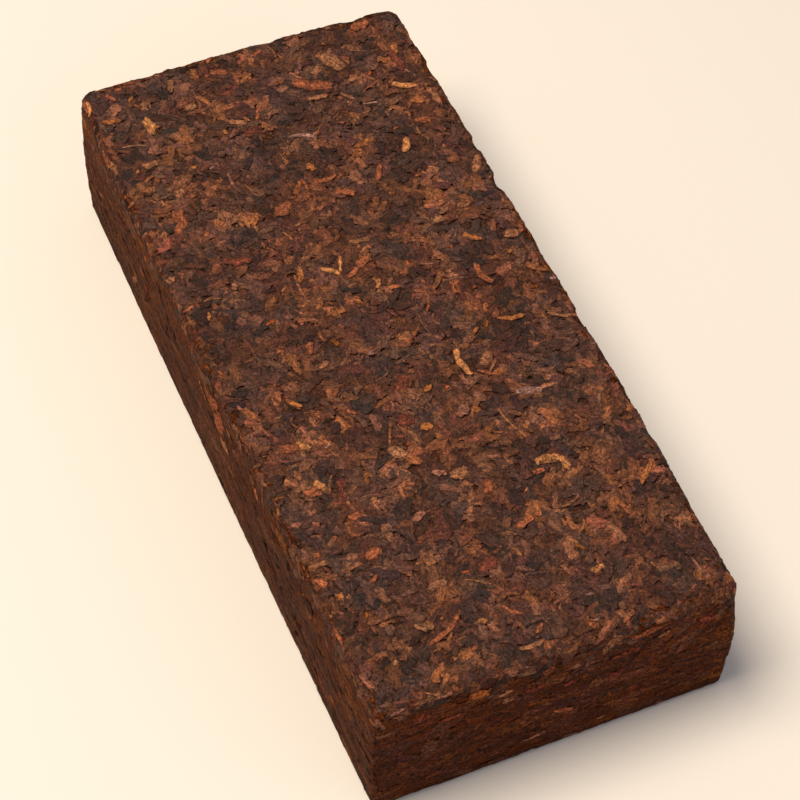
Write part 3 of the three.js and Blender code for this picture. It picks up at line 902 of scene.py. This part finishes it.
standing_leaf = leaf_material(
    "bright_leaf", specular=0.2, grain_contrast=0.55, blotch_contrast=0.4, edge_shade_tone=0.45, depth_shade_tone=0.4
)
standing_places = np.array([(row[0], row[1], mould_top / mm) for row in standing_leaves]) * mm
standing_places = onto_mould(standing_places, np.zeros(len(standing_places)))
bud_count, stem_count = 110, 34
bud_places = on_the_flat(bud_count, mould_top)
bud_tints = [("#7a4a2c", 0.4), ("#8c4d2e", 0.35), ("#8d5a3b", 0.2), ("#9c653c", 0.05)]
stem_places = on_the_flat(stem_count, mould_top)
stem_tints = [("#5a3a2a", 0.4), ("#744a33", 0.4), ("#86593f", 0.2)]
join_leaves(
    "standing_leaf_top",
    lay_marked(
        whole_leaves,
        standing_places,
        np.array([1.0, 0, 0]),
        np.array([0, 1.0, 0]),
        standing_leaves,
        bright_tints,
        (0.0, 0.12),
    )
    + lay(
        buds,
        bud_places,
        level_heading(bud_count),
        pick_tints(bud_places, bud_tints, 0.0, 9 * mm, 1.0),
        length=draw.uniform(1.0, 2.8, bud_count) * mm,
        width=draw.uniform(0.6, 1.2, bud_count) * mm,
        depth=0.05 * mm,
        crease=draw.uniform(0.1, 0.25, bud_count) * mm,
        bend=draw.normal(0, 0.4, bud_count),
        ceiling=(-0.1, 0.08),
    )
    + lay(
        whole_leaves,
        stem_places,
        level_heading(stem_count),
        pick_tints(stem_places, stem_tints, 0.0, 9 * mm, 7.0),
        length=draw.uniform(3.5, 8.0, stem_count) * mm,
        width=draw.uniform(0.45, 0.8, stem_count) * mm,
        depth=0.0,
        crease=draw.uniform(0.25, 0.4, stem_count) * mm,
        bend=draw.normal(0, 0.8, stem_count),
        ceiling=(-0.1, 0.1),
    ),
    standing_leaf,
)

# ---------------------------------------------------------------------------------------------------------
# The leaf round the rims
# The top mat spills over its rims, where the mould's lid and walls met, and its leaves there fold down over
# the edge and come loose first.
straight_up = np.array([0.0, 0.0, 1.0])
left, right, front, back = (-1, 0, 0), (1, 0, 0), (0, -1, 0), (0, 1, 0)  # the ways that the sides face
rim_fall, rim_lowest = 1.6, 7  # how far below the rim its leaf lies, typically and at most, in millimetres


def on_a_side(facing, run, rise):
    """Places on an upright side, so far along it to the right as seen from outside, and so high."""
    facing = np.array(facing)
    level = np.cross(straight_up, facing)
    away = abs(facing @ (half_width, half_length, 0))
    places = facing * away + level * run[:, None] + straight_up * rise[:, None]
    return onto_mould(places, np.zeros(len(run))), level


def span_of(facing):
    """How long an upright side is from end to end, before it swells."""
    return 2 * abs(np.cross(straight_up, facing) @ (half_width, half_length, 0))


def slanted(level, slant):
    """The level direction, turned up the side by each slant."""
    return level * np.cos(slant)[:, None] + straight_up * np.sin(slant)[:, None]


def rim_batches(facing, count):
    """Leaves in the top few millimetres of one side, lying every way across its rim."""
    run = ((np.arange(count) + draw.random(count)) / count - 0.5) * span_of(facing)
    rise = mould_top - draw.exponential(rim_fall, count).clip(0, rim_lowest) * mm
    places, level = on_a_side(facing, run, rise)
    length = draw.uniform(2.2, 6.0, count) * mm
    return lay(
        shards + strips,
        places,
        slanted(level, draw.uniform(0, 2 * math.pi, count)),
        pick_tints(places, leaf_tints, 0.9, leaf_clump, 2.0),
        length=length,
        width=np.minimum(draw.uniform(1.0, 2.8, count) * mm, 0.6 * length),
        depth=0.05 * mm + draw.exponential(0.12, count).clip(0, 0.5) * mm,
        crease=draw.uniform(0.05, 0.2, count) * mm,
        bend=draw.normal(0, 0.5, count),
        loose=1.2,
        ceiling=(-0.15, 0.2),
    )


join_leaves(
    "rim_leaf",
    rim_batches(left, 300) + rim_batches(right, 300) + rim_batches(front, 140) + rim_batches(back, 140),
    leaf_material("rubbed_leaf", specular=0.08),
)

# ---------------------------------------------------------------------------------------------------------
# The leaf on the sides
# Leaf lay flat against the mould's walls and was polished by them as the brick slid out: the sides are closed
# and even, with only faint outlines of single leaves, and paler towards the rim. Their foot is painted darker
# as shade, and the ends are painted cooler and paler, as the cool shade light on them.
side_leaf = leaf_material(
    "wall_pressed_leaf",
    specular=0.04,
    fibre_contrast=0.35,
    grain_contrast=0.75,
    blotch_contrast=0.15,
    edge_shade_tone=0.88,
    depth_shade_tone=0.7,
    wrinkle=0.5,
)
# Leaves that show on two of the sides, and near black patches painted as the shade of hollows there: place
# along the side and up it, length and width in millimetres, turn and bend in degrees, and colour.
left_marks = [
    (5, 26, 6, 5, 60, 0, "orange"),
    (8.5, 22.5, 5, 2.6, 10, 0, "tan"),
    (1.8, 23.9, 3.4, 1.3, 53, 20, "hollow_shade"),
    (-27.8, 20.9, 1.6, 1.1, 30, 0, "hollow_shade"),
    (31.5, 17, 2.2, 1.5, 0, 0, "hollow_shade"),
    (44.5, 27, 3, 1.5, 90, 0, "hollow_shade"),
    (52, 33, 3, 0.8, 55, 0, "tan"),
    (17.5, 33.5, 3, 2, 90, 0, "orange"),
    (2, 29.4, 5, 3, 10, 0, "orange"),
    (-5, 25.8, 6, 0.8, -22, 15, "tan"),
    (11, 29.6, 3.4, 0.8, -10, 0, "tan"),
    (-44, 21.5, 3, 1.6, 0, 0, "orange"),
    (-41.5, 18.5, 3, 2, 90, 0, "red"),
    (-50.5, 30.5, 7, 5, 0, 0, "brown"),
    (-53.5, 34.2, 5, 2.5, 0, 0, "dark"),
    (-51, 11.8, 4, 1.4, 50, 0, "tan"),
    (-69.5, 34.6, 2.5, 1.5, 0, 0, "pink"),
    (-74, 17, 3, 0.7, 20, 0, "tan"),
    (3.5, 3, 3, 2, 0, 0, "hollow_shade"),
    (55, 27, 6, 3, 20, 0, "dark"),
]
front_marks = [
    (-17.5, 31.5, 5, 2.4, 0, 0, "amber"),
    (-12, 28.6, 3, 1.6, 10, 0, "tan"),
    (-3, 31.3, 2.4, 2.2, 0, 0, "orange"),
    (10.5, 32.8, 5.2, 2.4, 50, 0, "tan"),
    (18, 32.2, 7, 1.5, 4, 0, "orange"),
    (32, 29.6, 3.6, 2, -10, 0, "red"),
    (-30, 30.5, 4, 2, 0, 0, "red"),
    (-24, 27, 5, 1.4, 5, 0, "red"),
    (-6, 26.5, 6, 1.4, -4, 0, "red"),
    (14, 27.5, 6, 1.2, 4, 0, "red"),
    (6, 28.7, 2, 1.5, 0, 0, "pink"),
    (-11.5, 26, 2.5, 2, 0, 0, "tan"),
    (1.5, 14, 4.5, 1.6, -15, 20, "orange"),
    (-4.5, 7, 6, 1.2, 5, 20, "pink"),
    (10.7, 4.7, 1.8, 1, 0, 0, "tan"),
    (22.4, 29.6, 2.6, 1.1, 20, 0, "tan"),
    (34.7, 19, 1.6, 1.1, 0, 0, "tan"),
    (12.5, 21, 3, 3, 0, 0, "red"),
    (2, 24, 2.5, 1.5, 10, 0, "red"),
    (-28, 18, 6, 4, 90, 0, "brown"),
]
mark_tints = {
    # painted shade of a hollow, not a leaf
    "hollow_shade": "#190e09",
    "dark": "#321c14",
    "brown": "#5f3723",
    "red": "#6d301f",
    "orange": "#85462a",
    "amber": "#a05526",
    "tan": "#835539",
    "pink": "#7b4a35",
}


def marks_on_a_side(facing, rows):
    run, rise = np.array([row[:2] for row in rows]).T * mm
    places, level = on_a_side(facing, run, rise)
    return lay_marked(whole_leaves, places, level, straight_up, rows, mark_tints, (0.02, 0.1))


# Darker than the top's tints: partly the pressed walls' own colour, partly painted shade of the upright
# sides.
side_tints = [
    ("#3e1e0e", 0.08),
    ("#43210f", 0.18),
    ("#4a2410", 0.25),
    ("#4f2712", 0.24),
    ("#542d15", 0.15),
    ("#5c3219", 0.07),
    ("#683b1e", 0.03),
]
# Painted shade light on the leaf's red, green and blue: the ends, which lie in cool shade, are painted
# bluer and a little paler, and the long sides are left as they are.
long_side_shade_tint = (1.0, 1.0, 1.0)
end_shade_tint = (1.06, 1.08, 1.4)
side_clump = np.array([11, 11, 3.5]) * mm  # pressing flattened the clumps of like leaf into streaks
tone_step = 0.2  # painted shade: how much darker the foot is, and how much paler it is below the rim
side_slant = math.radians(20)  # how far the leaves typically lie off the level


def side_batches(facing, count, shade_tint, seed):
    """The leaf over one whole side, nearly level, from its foot to its rim."""
    spot = even_spread(count)
    places, level = on_a_side(facing, spot[:, 0] * span_of(facing), (spot[:, 1] + 0.5) * mould_top)
    length = draw.uniform(3.5, 10.0, count) * mm
    foot_shade_and_rim_tone = 1 - tone_step + tone_step * smooth_step(places[:, 2], -2 * mm, 5 * mm)
    foot_shade_and_rim_tone = foot_shade_and_rim_tone + tone_step * smooth_step(places[:, 2], 0.6 * mould_top, 0.95 * mould_top)
    ahead = slanted(level, draw.normal(0, side_slant, count))
    tint = pick_tints(places, side_tints, 0.9, side_clump, seed, uneven=0.25)
    return lay(
        shards,
        places,
        ahead,
        # painted shade at the foot, paler below the rim, and the ends' painted cool shade light
        tint * foot_shade_and_rim_tone[:, None] * shade_tint,
        length=length,
        width=np.minimum(draw.uniform(1.4, 3.2, count) * mm, 0.6 * length),
        depth=0.1 * mm + draw.exponential(0.15, count).clip(0, 0.5) * mm,
        crease=draw.uniform(0.01, 0.04, count) * mm,
        bend=draw.normal(0, 0.4, count),
        loose=0.2,
        fibre=(4.0, 0.4),
        ceiling=(-0.08, 0.03),
    )


join_leaves(
    "long_side_leaf",
    side_batches(left, 2100, long_side_shade_tint, 4.0)
    + side_batches(right, 2100, long_side_shade_tint, 6.0)
    + marks_on_a_side(left, left_marks),
    side_leaf,
)
join_leaves(
    "end_leaf",
    side_batches(front, 1000, end_shade_tint, 3.0)
    + side_batches(back, 1000, end_shade_tint, 8.0)
    + marks_on_a_side(front, front_marks),
    side_leaf,
)

# ---------------------------------------------------------------------------------------------------------
# The leaf on the underside
# The mould's floor pressed this face flattest. It lies on the ground, so nothing of it stands out.
under_count = 3400
under_places = on_the_flat(under_count, 0)
under_length = draw.uniform(3.5, 8.0, under_count) * mm
join_leaves(
    "underside_leaf",
    lay(
        shards,
        under_places,
        level_heading(under_count),
        pick_tints(under_places, leaf_tints, 0.8, 5 * mm, 5.0),
        length=under_length,
        width=np.minimum(draw.uniform(2.0, 4.2, under_count) * mm, 0.7 * under_length),
        depth=0.15 * mm + draw.exponential(0.2, under_count).clip(0, 0.8) * mm,
        crease=draw.uniform(0.02, 0.08, under_count) * mm,
        bend=draw.normal(0, 0.5, under_count),
        loose=0.6,
        ceiling=(-0.12, 0.0),
    ),
    top_leaf,
)

# ---------------------------------------------------------------------------------------------------------
# The stage
# The brick lies on pale paper in even light. A warm lamp high on its left lights it most, and a weak cool
# one in front lifts the shade of its front end.
bpy.ops.object.select_all(action="DESELECT")
bpy.ops.mesh.primitive_plane_add(size=6, location=(0, 0, -0.02 * mm))
floor = bpy.context.object
floor.name = "floor"
paper = bpy.data.materials.new("pale_paper_floor")
paper.use_nodes = True
paper.node_tree.nodes["Principled BSDF"].inputs["Base Color"].default_value = linear("#d8d2c8")
paper.node_tree.nodes["Principled BSDF"].inputs["Roughness"].default_value = 0.9
floor.data.materials.append(paper)


def soft_light(name, place, size, watts, colour):
    bpy.ops.object.light_add(type="AREA", location=place)
    light = bpy.context.object
    light.name = name
    light.data.size = size
    light.data.energy = watts
    light.data.color = linear(colour)[:3]
    light.rotation_euler = (-Vector(place)).to_track_quat("-Z", "Y").to_euler()


soft_light("key_light", (-0.40, 0.12, 1.09), 0.6, 18.4, "#fff1de")
soft_light("fill_light", (0.35, -0.85, 0.4), 0.9, 2.2, "#e6e6ff")
world = bpy.data.worlds.new("studio")
bpy.context.scene.world = world
world.use_nodes = True
world.node_tree.nodes["Background"].inputs["Color"].default_value = linear("#ece8ee")
world.node_tree.nodes["Background"].inputs["Strength"].default_value = 0.37
bpy.context.scene.view_settings.view_transform = "Standard"
